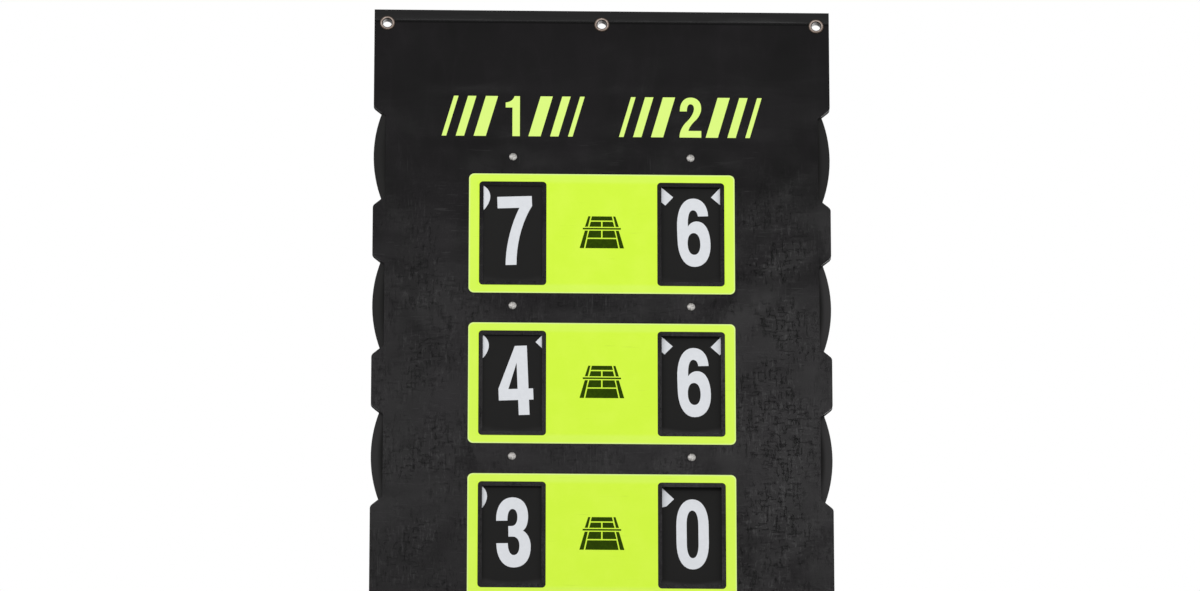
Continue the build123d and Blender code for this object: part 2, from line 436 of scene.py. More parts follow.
def disc_finish(name, centre, radius, rim_wear_and_highlight, colours):
    """Matt sheet with fine grain, ring-shaped rub marks and a rim worn by fingers, which is also
    painted lighter as a highlight against the shade under the sheet's edge. The argument
    after the radius is how far the rim is painted lighter, from 0 to 1."""
    finish = Finish(name, roughness=0.62, specular=0.07)
    spot = finish.place(centre=tuple(centre))
    x, _, z = finish.parts(spot)
    reach = (x * x + z * z) ** 0.5
    rings_place = finish.node("ShaderNodeCombineXYZ", {}, [reach, 0.0, 0.0])
    rings = finish.noise(rings_place, 700, 3.0, 0.7)
    sweep = finish.noise(spot, 11, 3.0, 0.6, 0.5)
    grain = finish.noise(spot, 1500, 2.0, 0.6)
    rubbed = rings.over(0.54, 0.74) * sweep.over(0.46, 0.66)
    # Painted highlight along the rim, together with the fingers' wear
    rim = reach.over(radius - 14 * MM, radius - 7 * MM)
    paling = rubbed * 0.30 + rim * rim_wear_and_highlight + sweep * 0.10
    base = finish.blend(paling, colours.disc, colours.disc_rubbed_and_highlight)
    finish.paint(base=base, roughness=0.66 - rubbed * 0.12 - rim * 0.16 + grain * 0.06)
    finish.emboss(grain * 0.018 + rubbed * 0.004)
    return finish.material


def film_finish(name, colours, corners=None):
    """Coloured film: a slightly clouded matt print with fine pimples and a few hairline
    scratches. With corners, a painted highlight pales it towards the cut edge of the panel
    between them. Without, it is thin print that looks paler all over."""
    finish = Finish(name, roughness=0.5, specular=0.15)
    spot = finish.place()
    clouds = finish.noise(spot, 26, 4.0, 0.6)
    grain = finish.noise(spot, 1100, 2.0, 0.6)
    hair = finish.noise(finish.stretched(0.04, 1.0, 0.7), 520, 2.0, 0.5)
    scratches = hair.over(0.70, 0.76)
    scratched = (0.36, 0.52, 0.05)
    base = finish.blend(clouds.over(0.35, 0.75) * 0.5, colours.film, colours.film_pale)
    base = finish.blend(scratches * 0.22, base, scratched)
    if corners:
        low, high = corners
        round_off = 8 * MM
        x, _, z = finish.parts(finish.place(centre=tuple((low + high) / 2)))
        past_x = abs(x) - (high.x - low.x) / 2
        past_z = abs(z) - (high.z - low.z) / 2
        # Painted highlight: paler in a band inside the panel's cut edge
        edge_highlight_band = past_x.math("MAXIMUM", past_z).over(-15 * MM, -9 * MM)
        base = finish.blend(edge_highlight_band * 0.11, base, colours.film_edge)
        # Painted highlight along the cut edge itself, round the rounded corners
        beyond = [(past + round_off).math("MAXIMUM", 0.0) for past in (past_x, past_z)]
        reach = (beyond[0] * beyond[0] + beyond[1] * beyond[1]) ** 0.5
        edge = reach.over(round_off - 2.2 * MM, round_off - 0.6 * MM)
        base = finish.blend(edge * (0.35 + clouds * 0.5), base, colours.film_edge)
    else:
        base = finish.blend(0.45, base, colours.film_edge)
    finish.paint(base=base, roughness=0.44 + clouds * 0.12 + grain * 0.06)
    finish.emboss(grain * 0.012 - scratches * 0.012)
    return finish.material


def numeral_finish(colours):
    """White print with a faint mottle, a little thin in places."""
    finish = Finish("numeral_print", roughness=0.55, specular=0.2)
    spot = finish.place()
    mottle = finish.noise(spot, 160, 4.0, 0.65)
    grain = finish.noise(spot, 1300, 2.0, 0.6)
    thin = times(0.955, colours.numeral)
    base = finish.blend(mottle.over(0.35, 0.72), thin, colours.numeral)
    finish.paint(base=base, roughness=0.48 + mottle * 0.16)
    finish.emboss(grain * 0.014)
    return finish.material


def emblem_finish(colours):
    """Very dark green print with a faint mottle."""
    finish = Finish("emblem_print", roughness=0.5, specular=0.02)
    spot = finish.place()
    mottle = finish.noise(spot, 300, 3.0, 0.6)
    faded = times(1.5, colours.emblem)
    base = finish.blend(mottle.over(0.4, 0.75), colours.emblem, faded)
    finish.paint(base=base, roughness=0.46 + mottle * 0.14)
    finish.emboss(mottle * 0.010)
    return finish.material


def foam_finish(colours):
    """Closed-cell foam: small pits, with a paler skin between them."""
    finish = Finish("closed_foam", roughness=0.9, specular=0.15)
    spot = finish.place()
    pits = finish.cells(spot, 1100)
    clouds = finish.noise(spot, 60, 3.0, 0.6)
    skin = times(2.4, colours.foam)
    base = finish.blend(pits.over(0.25, 0.6) * (0.4 + clouds * 0.6), colours.foam, skin)
    finish.paint(base=base, roughness=0.82 + clouds * 0.14)
    finish.emboss(pits * 0.16 + clouds * 0.05)
    return finish.material


def steel_finish(colours):
    """Plated steel, spun: streaks run outward from the middle of each head."""
    finish = Finish("plated_steel", roughness=0.34, metallic=1.0)
    streaks = finish.noise(finish.attribute("turned", (2.4, 2.4, 0.16)), 1.0, 3.0, 0.65)
    rings = finish.noise(finish.attribute("turned", (0.15, 0.15, 3.5)), 1.0, 2.0, 0.6)
    grime = finish.noise(finish.place(), 420, 3.0, 0.6)
    dull = times(0.34, colours.steel)
    paling = streaks.over(0.40, 0.60) * 0.8 + grime.over(0.35, 0.7) * 0.2
    finish.paint(
        base=finish.blend(paling, dull, colours.steel),
        roughness=0.30 + streaks * 0.18 + grime * 0.14,
    )
    finish.emboss(streaks * 0.10 + rings * 0.03)
    return finish.material


def brass_finish(colours):
    """Coppery plated brass, rubbed silver on the crest and painted lighter there as a highlight,
    dull brown outside it, and painted black down the bore as its shade. The bore is the
    profile's first part."""
    finish = Finish("coppery_brass", metallic=1.0)
    along = finish.parts(finish.attribute("turned"))[2]
    clouds = finish.noise(finish.place(), 260, 4.0, 0.65)
    scratches = finish.noise(finish.attribute("turned", (0.6, 0.6, 5.0)), 2.0, 3.0, 0.6)
    # The crest is rubbed bare and also painted lighter as a highlight
    crest = abs(along + 0.2).over(1.3, 0.3)
    flank = along.over(0.3, 1.5)
    paling = crest * 0.50 + clouds.over(0.42, 0.62) * 0.50 - 0.08 - flank * 0.55
    base = finish.blend(paling, colours.brass, colours.brass_rubbed_and_highlight)
    # Painted shade down the bore
    bore_shade = (0.010, 0.008, 0.007)
    base = finish.blend(along.over(-0.7, -1.8) * 0.96, base, bore_shade)
    finish.paint(base=base, roughness=0.26 + clouds * 0.22 + scratches * 0.10)
    finish.emboss(scratches * 0.03 + clouds * 0.03)
    return finish.material


def floor_finish(colours):
    """Plain pale floor with a very faint cloud."""
    finish = Finish("floor", roughness=0.8, specular=0.2)
    clouds = finish.noise(finish.place(), 1.5, 3.0, 0.5)
    darker = times(0.97, colours.floor)
    finish.paint(base=finish.blend(clouds, colours.floor, darker))
    return finish.material


def finish_of(name, make, *values):
    """The material of this name, made at its first use. The frame has its own materials
    named after the slots, so no finish has a slot's name."""
    return bpy.data.materials.get(name) or make(*values)


# ---- Meshes ----


def quads_of(points, keep=None, wrap_rows=False, wrap_columns=False):
    """Quads between neighbouring points of a grid, for the cells that keep marks."""
    rows, columns = points.shape[:2]
    index = np.arange(rows * columns).reshape(rows, columns)
    if wrap_rows:
        index = np.vstack([index, index[:1]])
    if wrap_columns:
        index = np.hstack([index, index[:, :1]])
    corners = [index[:-1, :-1], index[:-1, 1:], index[1:, 1:], index[1:, :-1]]
    quads = np.stack(corners, axis=-1)
    return quads.reshape(-1, 4) if keep is None else quads[keep]


def shell_of(outer, inner, keep):
    """Closed shell: the outer grid, the inner grid turned round, and a rim of quads
    along every edge that only one outer cell has."""
    count = outer.shape[0] * outer.shape[1]
    quads = quads_of(outer, keep)
    starts = quads.ravel()
    ends = np.roll(quads, -1, axis=1).ravel()
    single = ~np.isin(starts * count + ends, ends * count + starts)
    a, b = starts[single], ends[single]
    rim = np.stack([b, a, a + count, b + count], axis=-1)
    faces = np.vstack([quads, quads[:, ::-1] + count, rim])
    points = np.vstack([outer.reshape(-1, 3), inner.reshape(-1, 3)])
    used = np.unique(faces)
    return points[used], np.searchsorted(used, faces)


def add_piece(name, points, faces, body, material, sharp=None, turned=None):
    """A mesh object at the origin that rides on a body. Edges sharper than the angle
    sharp, in degrees, stay hard. turned is a vector for each point, kept as an attribute."""
    mesh = bpy.data.meshes.new(name)
    mesh.from_pydata(np.asarray(points).tolist(), [], [list(map(int, face)) for face in faces])
    if turned is not None:
        kept = mesh.attributes.new("turned", "FLOAT_VECTOR", "POINT")
        kept.data.foreach_set("vector", np.asarray(turned, dtype=np.float32).ravel())
    mesh.materials.append(material)
    mesh.validate()
    if sharp is not None:
        mesh.shade_smooth()
        mesh.set_sharp_from_angle(angle=math.radians(sharp))
    made = bpy.data.objects.new(name, mesh)
    bpy.context.scene.collection.objects.link(made)
    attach(made, body)
    return made


def weld(made):
    """Merge doubled points, such as poles, and turn all faces outwards."""
    work = bmesh.new()
    work.from_mesh(made.data)
    bmesh.ops.remove_doubles(work, verts=work.verts, dist=1e-6)
    bmesh.ops.dissolve_degenerate(work, dist=1e-7, edges=work.edges)
    bmesh.ops.recalc_face_normals(work, faces=work.faces)
    work.to_mesh(made.data)
    work.free()
    made.data.shade_smooth()
    made.data.set_sharp_from_angle(angle=math.radians(WELDED_SHARP))


def step(value, low, high):
    """Smooth step of an array: 0 at low, 1 at high, cubic between."""
    t = np.clip((value - low) / (high - low), 0.0, 1.0)
    return t * t * (3 - 2 * t)


def lines(low, high, spacing, *exact):
    """Grid lines from low to high, about spacing apart, through the exact places. Those
    are rounded, so that places that are alike but for a rounding error count once."""
    stops = np.unique(np.round(np.array([low, high, *exact]), 7))
    runs = [
        np.linspace(a, b, max(1, round((b - a) / spacing)), endpoint=False)
        for a, b in zip(stops[:-1], stops[1:])
    ]
    return np.append(np.concatenate(runs), stops[-1])


def middles(values):
    """Halfway between each two neighbours."""
    return values[:-1] / 2 + values[1:] / 2


def recess_corner(sizes):
    """How high the slanted side of a recess is, its angle off upright, and how far the
    arc of its rounded corner reaches past the mouth."""
    rise = (sizes.recess_mouth - sizes.recess_height) / 2
    slope = math.atan2(sizes.recess_depth, rise)
    return rise, slope, sizes.recess_round * math.tan(slope / 2)


def edge_at(z, sizes):
    """Distance of the board's side edge from its centre line, at each height.

    Beside a recess it runs straight in from the mouth to the recess's inner edge.
    An arc that touches the side and that slope rounds the corner between them.
    """
    half = board_high.x
    edge = np.full_like(z, half)
    rise, slope, touch = recess_corner(sizes)
    for height in ROW_HEIGHTS:
        away = np.abs(z - height)
        below = sizes.recess_mouth / 2 - away
        slant = half - np.clip(below / rise, 0.0, 1.0) * sizes.recess_depth
        edge = np.minimum(edge, slant)
        above_arc = away - (sizes.recess_mouth / 2 + touch)
        on_arc = (above_arc < 0) & (above_arc > -sizes.recess_round * math.sin(slope))
        rounded = half - sizes.recess_round
        rounded = rounded + np.sqrt(np.maximum(sizes.recess_round**2 - above_arc**2, 0.0))
        edge = np.where(on_arc, np.minimum(edge, rounded), edge)
    return edge


def outline_heights(sizes):
    """Heights at which the board's outline bends, with points along its arcs."""
    found = []
    _, slope, touch = recess_corner(sizes)
    arc_heights = sizes.recess_round * np.sin(np.linspace(0, slope, 7))
    bend = sizes.recess_mouth / 2 + touch - arc_heights
    for height in ROW_HEIGHTS:
        for sign in (-1, 1):
            found += list(height + sign * bend)
            found += [height + sign * sizes.recess_height / 2]
    return found


def fit_sides(x, z, sizes):
    """Move the columns beyond the straight ones sideways, each by its share of the way
    to the side, so that the last lies on the outline."""
    beyond = np.clip((np.abs(x) - STRAIGHT) / (board_high.x - STRAIGHT), 0.0, None)
    moved = STRAIGHT + beyond * (edge_at(z, sizes) - STRAIGHT)
    return np.sign(x) * np.where(beyond > 0, moved, np.abs(x))


def waves(x, z, seed):
    """Slow waves, about from 0 to 1: a sum of sines, each as strong as it is long, with
    seeded directions and phases. Each sways sideways on its way up."""
    chance = np.random.default_rng(seed)
    total = np.zeros(np.broadcast(x, z).shape)
    for size in WAVES:
        heading, phase = chance.uniform(-0.9, 0.9), chance.uniform(0, FULL_TURN)
        along = x * math.cos(heading) + 0.6 * z * math.sin(heading)
        total += size * np.sin(FULL_TURN * along / size + phase + 2.0 * np.sin(z / size))
    return 0.5 + 0.5 * total / WAVES_SUM


def eyelet_places():
    """The eyelets' places across the board: the middle and one near each end."""
    reach = eyelet_high.x - (washer_high.z - washer_low.z) / 2
    return (-reach, 0.0, reach)


def eyelet_edges(sizes):
    """Places of the square holes' sides, across the board."""
    return [place + sign * sizes.eyelet_hole for place in eyelet_places() for sign in (-1, 1)]


def outside_eyelets(across, up, sizes):
    """Marks the cells between these grid lines that the eyelets' square holes leave."""
    x, z = middles(across)[None, :], middles(up)[:, None]
    inside = np.zeros((z.size, x.size), dtype=bool)
    for place in eyelet_places():
        inside |= (np.abs(x - place) < sizes.eyelet_hole) & (np.abs(z) < sizes.eyelet_hole)
    return ~inside


def disc_reach(away, sizes):
    """How far a disc's room reaches at this distance beside its pivot: the third side of
    a right triangle, whose longest is the room's radius. 0 further away."""
    room = sizes.disc_radius + sizes.strip_gap
    return np.sqrt(np.maximum(room**2 - away**2, 0.0))


def near(x, z, centre_x, centre_z, inner, outer):
    """0 within inner of a point, 1 beyond outer."""
    return step(np.hypot(x - centre_x, z - centre_z), inner, outer)


def off_rivets(x, z):
    """0 under the rivets' heads, 1 further out."""
    return np.prod([near(x, z, p.x, p.z, 8 * MM, 24 * MM) for p in PIVOTS.values()], axis=0)


def off_eyelets(x, z, inner, outer):
    """0 within inner of the eyelets' middles, 1 beyond outer."""
    return np.prod([near(x, z, p, 0.0, inner, outer) for p in eyelet_places()], axis=0)


def calm(x, z, low_x, high_x, low_z, high_z, margin):
    """0 inside a rectangle, 1 beyond margin from it."""
    away_x = np.maximum(np.maximum(low_x - x, x - high_x), 0)
    away_z = np.maximum(np.maximum(low_z - z, z - high_z), 0)
    return step(np.hypot(away_x, away_z), 0.0, margin)


def panel_boxes():
    """Lowest and highest corners of the three coloured panels."""
    return [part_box(f"score_panel_{row}") for row in ROWS]


class ScoreboardOperator:
    """What the scoreboard's operators share"""

    bl_options = {"REGISTER", "UNDO"}

    @property
    def sizes(self):
        """The scene's sizes."""
        return bpy.context.scene.scoreboard_sizes

    @property
    def colours(self):
        """The scene's colours."""
        return bpy.context.scene.scoreboard_colours


class SCOREBOARD_OT_front_sheet(ScoreboardOperator, bpy.types.Operator):
    """Front tarpaulin with its windows, recesses and the hem folded over the top"""

    bl_idname = "scoreboard.front_sheet"
    bl_label = "Front Sheet"

    def path(self):
        """Depth and height of the cloth's points, from its bottom edge up the front, over
        two quarter arcs at the top and down the flap, with the way inwards at each."""
        sizes, radius = self.sizes, self.sizes.fold_radius
        hem, beside_hem = board_high.z - sizes.hem_drop, 1.2 * MM
        holes = (-sizes.eyelet_hole, sizes.eyelet_hole)
        exact = [hem, hem - beside_hem, hem + beside_hem, *holes]
        for height in ROW_HEIGHTS:
            for sign in (-1, 1):
                exact.append(height - sizes.window_drop + sign * sizes.window_height / 2)
        top = board_high.z - radius
        up = lines(board_low.z, top, sizes.mesh_step, *exact, *outline_heights(sizes))
        down = lines(board_high.z - sizes.flap, top, sizes.mesh_step, *holes)[::-1][1:]
        bend = np.linspace(0, math.pi / 2, 7)[1:]
        sine, cosine = np.sin(bend), np.cos(bend)
        runs = (
            (board_low.y, up, 1, 0),
            (board_low.y + radius - radius * cosine, top + radius * sine, cosine, -sine),
            (board_high.y - radius, board_high.z, 0, -1),
            (board_high.y - radius + radius * sine, top + radius * cosine, -sine, -cosine),
            (board_high.y, down, -1, 0),
        )
        stacked = [np.stack(np.broadcast_arrays(*run), axis=-1) for run in runs]
        return np.vstack(stacked)

    def front_out(self, x, z):
        """How far the front stands out: by slow waves, which rest where something lies on
        the cloth, and by the hem's puff, a half sine to the power of 0.6."""
        sizes = self.sizes
        mask = off_rivets(x, z) * off_eyelets(x, z, 11 * MM, 26 * MM)
        for low, high in panel_boxes():
            mask *= calm(x, z, low.x, high.x, low.z, high.z, 26 * MM)
        foot = ROW_HEIGHTS[0] + sizes.heading_rise
        low, high = foot - 3 * MM, foot + sizes.heading_height + 3 * MM
        mask *= calm(x, z, -HEADINGS_REACH, HEADINGS_REACH, low, high, 14 * MM)
        hem = board_high.z - sizes.hem_drop
        mask *= 1 - step(z, hem - 14 * MM, hem - 2 * MM)
        above = np.clip((z - hem) / sizes.hem_drop, 0.0, 1.0)
        puff = sizes.hem_puff * np.sin(math.pi * above) ** 0.6
        puff = puff * off_eyelets(x, z, 9.5 * MM, 16 * MM)
        return sizes.swell * waves(x, z, 11) * mask + puff

    def flap_out(self, x, z):
        """How far the flap stands out behind: by slow waves that grow from the eyelets'
        height down, and rest beside the eyelets."""
        free = np.clip(-z / (20 * MM), 0.0, 1.0) * off_eyelets(x, z, 11 * MM, 22 * MM)
        return 0.35 * MM * free * waves(x, z, 5)

    def execute(self, context):
        sizes = self.sizes
        along = self.path()
        exact = [-STRAIGHT, STRAIGHT, *eyelet_edges(sizes)]
        for column in COLUMNS:
            exact += [column + sign * sizes.window_width / 2 for sign in (-1, 1)]
        across = lines(board_low.x, board_high.x, sizes.mesh_step, *exact)
        y, z, in_y, in_z = (along[:, n, None] + 0 * across[None, :] for n in range(4))
        x = across[None, :] + 0 * y
        in_front = y <= board_low.y + SAME
        x = np.where(in_front, fit_sides(x, z, sizes), x)
        out = np.where(in_front, self.front_out(x, z), 0.0)
        back_out = np.where(y >= board_high.y - SAME, self.flap_out(x, z), 0.0)
        outer = np.stack([x, y - out + back_out, z], axis=-1)
        thick = 0.97 * sizes.sheet  # leaves a little air before what lies behind
        inner = np.stack([x, y - out + back_out + in_y * thick, z + in_z * thick], axis=-1)
        mid_x, mid_z = middles(across)[None, :], middles(along[:, 1])[:, None]
        is_front = (along[:-1, 0] < 0)[:, None]
        keep = outside_eyelets(across, along[:, 1], sizes)
        for height in ROW_HEIGHTS:
            tall = np.abs(mid_z - height + sizes.window_drop) < sizes.window_height / 2
            for column in COLUMNS:
                wide = np.abs(mid_x - column) < sizes.window_width / 2
                keep &= ~(tall & wide & is_front)
        points, faces = shell_of(outer, inner, keep)
        cloth = finish_of("coated_cloth", tarpaulin_finish, self.colours, sizes)
        made = add_piece(
            "front_tarpaulin", points, faces, "board", cloth, sharp=CLOTH_SHARP,
        )
        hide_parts("front_sheet")
        return {"FINISHED"}


class SCOREBOARD_OT_back_sheet(ScoreboardOperator, bpy.types.Operator):
    """Rear tarpaulin, tucked under the hem's flap"""

    bl_idname = "scoreboard.back_sheet"
    bl_label = "Back Sheet"

    def execute(self, context):
        sizes = self.sizes
        hole, tucked, set_in = sizes.eyelet_hole, 0.4 * MM, 0.02 * MM
        exact = [-STRAIGHT, STRAIGHT, *eyelet_edges(sizes)]
        across = lines(back_low.x, back_high.x, sizes.mesh_step, *exact)[::-1]
        exact = [-hole, hole, *outline_heights(sizes)]
        up = lines(back_low.z, back_high.z - tucked, sizes.mesh_step, *exact)
        z = up[:, None] + 0 * across[None, :]
        x = fit_sides(across[None, :] + 0 * z, z, sizes)
        # The waves rest under the hem's flap and round the rivets
        mask = (1 - step(z, -60 * MM, -24 * MM)) * off_rivets(x, z)
        y = back_high.y - set_in + 1.2 * sizes.swell * waves(x, z, 23) * mask
        outer = np.stack([x, y, z], axis=-1)
        inner = np.stack([x, y - 0.95 * sizes.sheet, z], axis=-1)
        points, faces = shell_of(outer, inner, outside_eyelets(across, up, sizes))
        cloth = finish_of("coated_cloth", tarpaulin_finish, self.colours, sizes)
        made = add_piece(
            "back_tarpaulin", points, faces, "board", cloth, sharp=CLOTH_SHARP,
        )
        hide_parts("back_sheet")
        return {"FINISHED"}


class SCOREBOARD_OT_spacers(ScoreboardOperator, bpy.types.Operator):
    """Foam strips between the sheets, cut round the discs"""

    bl_idname = "scoreboard.spacers"
    bl_label = "Foam Strips"

    def execute(self, context):
        self.add_end_strip("top_spacer_strip", pierced=True)
        self.add_end_strip("bottom_spacer_strip", pierced=False)
        for side, way in SIDES.items():
            for number in (1, 2, 3, 4):
                self.add_side_strip(f"{side}_side_spacer_{number}", way)
        return {"FINISHED"}

    def add_end_strip(self, node, pierced):
        """A strip right across the board. Its edge beside the discs is the higher of its
        straight edge and a circle just outside each disc."""
        sizes = self.sizes
        low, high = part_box(node)
        trim = 0.4 * MM
        holes = (-sizes.eyelet_hole, sizes.eyelet_hole) if pierced else ()
        across = lines(low.x + trim, high.x - trim, sizes.mesh_step, *eyelet_edges(sizes))
        up = lines(low.z, high.z - trim, sizes.mesh_step, *holes)
        base = np.full_like(across, low.z)
        if pierced:
            for column in COLUMNS:
                reach = disc_reach(across - column, sizes)
                base = np.maximum(base, np.where(reach > 0, ROW_HEIGHTS[0] + reach, low.z))
        share = (up - up[0]) / (up[-1] - up[0])
        z = base[None, :] + share[:, None] * (up[-1] - base[None, :])
        x = across[None, :] + 0 * z
        deep = (high.y - low.y) / 2 - STRIP_ROOM
        outer = np.stack([x, 0 * x - deep, z], axis=-1)
        inner = np.stack([x, 0 * x + deep, z], axis=-1)
        points, faces = shell_of(outer, inner, outside_eyelets(across, up, sizes))
        self.add_foam(node, points, faces)

    def add_side_strip(self, node, way):
        """A short strip beside the discs: a section with a crowned outer side, carried up
        between two curves, the board's outline outside and the discs' room inside."""
        sizes = self.sizes
        low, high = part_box(node)
        exact = [z for z in outline_heights(sizes) if low.z < z < high.z]
        up = lines(low.z, high.z, sizes.mesh_step / 2, *exact)
        set_in, narrowest = 0.3 * MM, 0.4 * MM
        outer = edge_at(up, sizes) - set_in
        inner = np.full_like(up, min(abs(low.x), abs(high.x)))
        for height in ROW_HEIGHTS:
            reach = disc_reach(up - height, sizes)
            inner = np.maximum(inner, np.where(reach > 0, COLUMN + reach, 0.0))
        inner = np.minimum(inner, outer - narrowest)
        deep = (high.y - low.y) / 2 - STRIP_ROOM
        turn = np.linspace(-math.pi / 2, math.pi / 2, 9)
        crown = np.minimum(0.5 * MM, (outer - inner) / 3)
        across = [inner, *(outer - crown * (1 - math.cos(t)) for t in turn), inner]
        depth = [-deep, *(deep * math.sin(t) for t in turn), deep]
        x = way * np.stack(across, axis=1)
        y = np.array(depth)[None, :] + 0 * x
        z = up[:, None] + 0 * x
        points = np.stack([x, y, z], axis=-1)
        count = points.shape[1]
        bottom = list(range(count))
        top = [n + (len(up) - 1) * count for n in bottom]
        faces = [*quads_of(points, wrap_columns=True), bottom[::-1], top]
        self.add_foam(node, points.reshape(-1, 3), faces)

    def add_foam(self, node, points, faces):
        """The piece that stands for this strip."""
        foam = finish_of("closed_foam", foam_finish, self.colours)
        made = add_piece(f"{node}_foam", points, faces, "board", foam)
        weld(made)
        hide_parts(node)


class SCOREBOARD_OT_panels(ScoreboardOperator, bpy.types.Operator):
    """Finish of the three coloured panels"""

    bl_idname = "scoreboard.panels"
    bl_label = "Panels"

    def execute(self, context):
        for row, corners in zip(ROWS, panel_boxes()):
            name = f"neon_film_{row}"
            film = finish_of(name, film_finish, name, self.colours, corners)
            dress(frame["nodes"][f"score_panel_{row}"], film)
        return {"FINISHED"}


class SCOREBOARD_OT_discs(ScoreboardOperator, bpy.types.Operator):
    """Finish of the six number discs"""

    bl_idname = "scoreboard.discs"
    bl_label = "Discs"

    def execute(self, context):
        for side in SIDES:
            for row in ROWS:
                name = f"{side}_disc_{row}"
                sheet = disc_finish(
                    f"{name}_sheet", PIVOTS[name], self.sizes.disc_radius, RIM_WEAR_AND_HIGHLIGHT[name],
                    self.colours,
                )
                dress(frame["nodes"][f"{side}_number_disc_{row}"], sheet)
        return {"FINISHED"}


def dress(node, material):
    """Give a CAD node's object this material in every slot."""
    if not node.material_slots:
        node.data.materials.append(material)
    for held in node.material_slots:
        held.material = material


# ---- Numerals and signs ----

# A contour is a start and moves. Two numbers draw a straight line to a point. Four draw
# a curve that bends at the first point and ends at the second, like a rounded corner.
TALL = 96.5


def oval(half, low, high, end):
    """Upright ring contour. Each end is half an ellipse that is end high."""
    return [
        (-half, low + end), (-half, high - end), (-half, high, 0, high),
        (half, high, half, high - end), (half, low + end), (half, low, 0, low),
        (-half, low, -half, low + end),
    ]


NUMERALS = {
    0: [oval(20.9, 0, TALL, 37), oval(7.6, 15.4, TALL - 15.4, 20)],
    1: [[
        (-1.5, 0), (13.2, 0), (13.2, TALL), (2.5, TALL), (-1, 82, -15, 81), (-15, 69),
        (-1.5, 69),
    ]],
    2: [[
        (-21, 63), (-21, TALL, 0.5, TALL), (21.5, TALL, 21.5, 70), (21.5, 54, 9, 40),
        (-2, 28, -4, 16), (21.5, 16), (21.5, 0), (-21.8, 0), (-21.8, 20, -9, 36),
        (7.2, 54, 7.2, 69.5), (7.2, 80.5, 0, 80.5), (-7, 80.5, -7, 63),
    ]],
    3: [[
        (-21.8, 64.5), (-21.8, TALL, -0.3, TALL), (19.6, TALL, 19.6, 71), (19.6, 55, 12.5, 50.5),
        (22.3, 45, 22.3, 29), (22.3, 0, 0, 0), (-22, 0, -22, 33.5), (-7.2, 33.5),
        (-7.2, 17, 0.2, 17), (7.8, 17, 7.8, 30.5), (7.8, 42.5, -1, 42.5), (-6.2, 42.5),
        (-6.2, 57), (-2, 57), (5.8, 57, 5.8, 69.5), (5.8, 80.5, -0.5, 80.5),
        (-7.2, 80.5, -7.2, 64.5),
    ]],
    4: [
        [
            (2.6, 0), (16.6, 0), (16.6, 21), (22.5, 21), (22.5, 36.5), (16.6, 36.5), (16.6, TALL),
            (1, TALL), (-22.5, 37.5), (-22.5, 21), (2.6, 21),
        ],
        [(2.4, 36.5), (-9.6, 36.5), (2.4, 73)],
    ],
    5: [[
        (-17.5, TALL), (18.8, TALL), (18.8, 81), (-6.5, 81), (-8, 61), (-4, 65, 4, 65),
        (22, 65, 22, 33), (22, 0, 0, 0), (-21.5, 0, -22, 28), (-7.5, 28), (-7, 16, 0, 16),
        (7.5, 16, 7.5, 33), (7.5, 50.5, 0, 50.5), (-5.5, 50.5, -7.5, 44), (-20.8, 44),
    ]],
    6: [
        [
            (20, 71), (19.4, TALL, 0.5, TALL), (-21.3, TALL, -21.3, 54), (-21.3, 38),
            (-21.3, 0, 0, 0), (21.6, 0, 21.6, 32), (21.6, 64, 4.5, 64), (-3, 64, -7, 57),
            (-7.4, 80, 0.2, 80), (6, 80, 6.6, 71),
        ],
        oval(8.3, 17, 47.7, 15.4),
    ],
    7: [[
        (-22.6, TALL), (22.6, TALL), (22.6, 82.5), (0.5, 48, -0.6, 0), (-14.8, 0),
        (-13.5, 42, 6, 80.3), (-22.6, 80.3),
    ]],
}

# The numeral that each disc shows, how many degrees its ring of numerals stands off
# upright, and how many more degrees the shown one leans
SHOWN = {
    "left_disc_1": (7, 4.4, -2.3), "left_disc_2": (4, 3.6, -1.3), "left_disc_3": (3, 1.1, 0.0),
    "right_disc_1": (6, 3.4, -1.4), "right_disc_2": (6, 2.1, -0.3), "right_disc_3": (0, 0.5, 0.0),
}
NUMERALS_PER_DISC = 8

# How far along a curve's handles reach towards its bend
HANDLE = 0.62

# A tennis court in metres: its width and side alleys, its length and from the net to a
# service line
COURT_WIDTH, COURT_ALLEY = 10.97, 1.37
COURT_LENGTH, COURT_SERVICE = 23.77, 6.4


def draw(contour, bends=9):
    """Points of a contour. A curve with bend B from S to E is the cubic with its handles
    on the ways from S to B and from E to B, a little squarer than an ellipse."""
    points = [np.array(contour[0][:2], dtype=float)]
    for move in contour[1:]:
        if len(move) == 2:
            points.append(np.array(move, dtype=float))
            continue
        start, bend, end = points[-1], np.array(move[:2], float), np.array(move[2:], float)
        t = np.linspace(0, 1, bends + 1)[1:, None]
        first, second = start + HANDLE * (bend - start), end + HANDLE * (bend - end)
        curve = (1 - t) ** 3 * start + 3 * (1 - t) ** 2 * t * first
        curve = curve + 3 * (1 - t) * t**2 * second + t**3 * end
        points += list(curve)
    points = np.array(points)
    apart = np.linalg.norm(points - np.roll(points, 1, axis=0), axis=1) > 1e-6
    return points[apart]


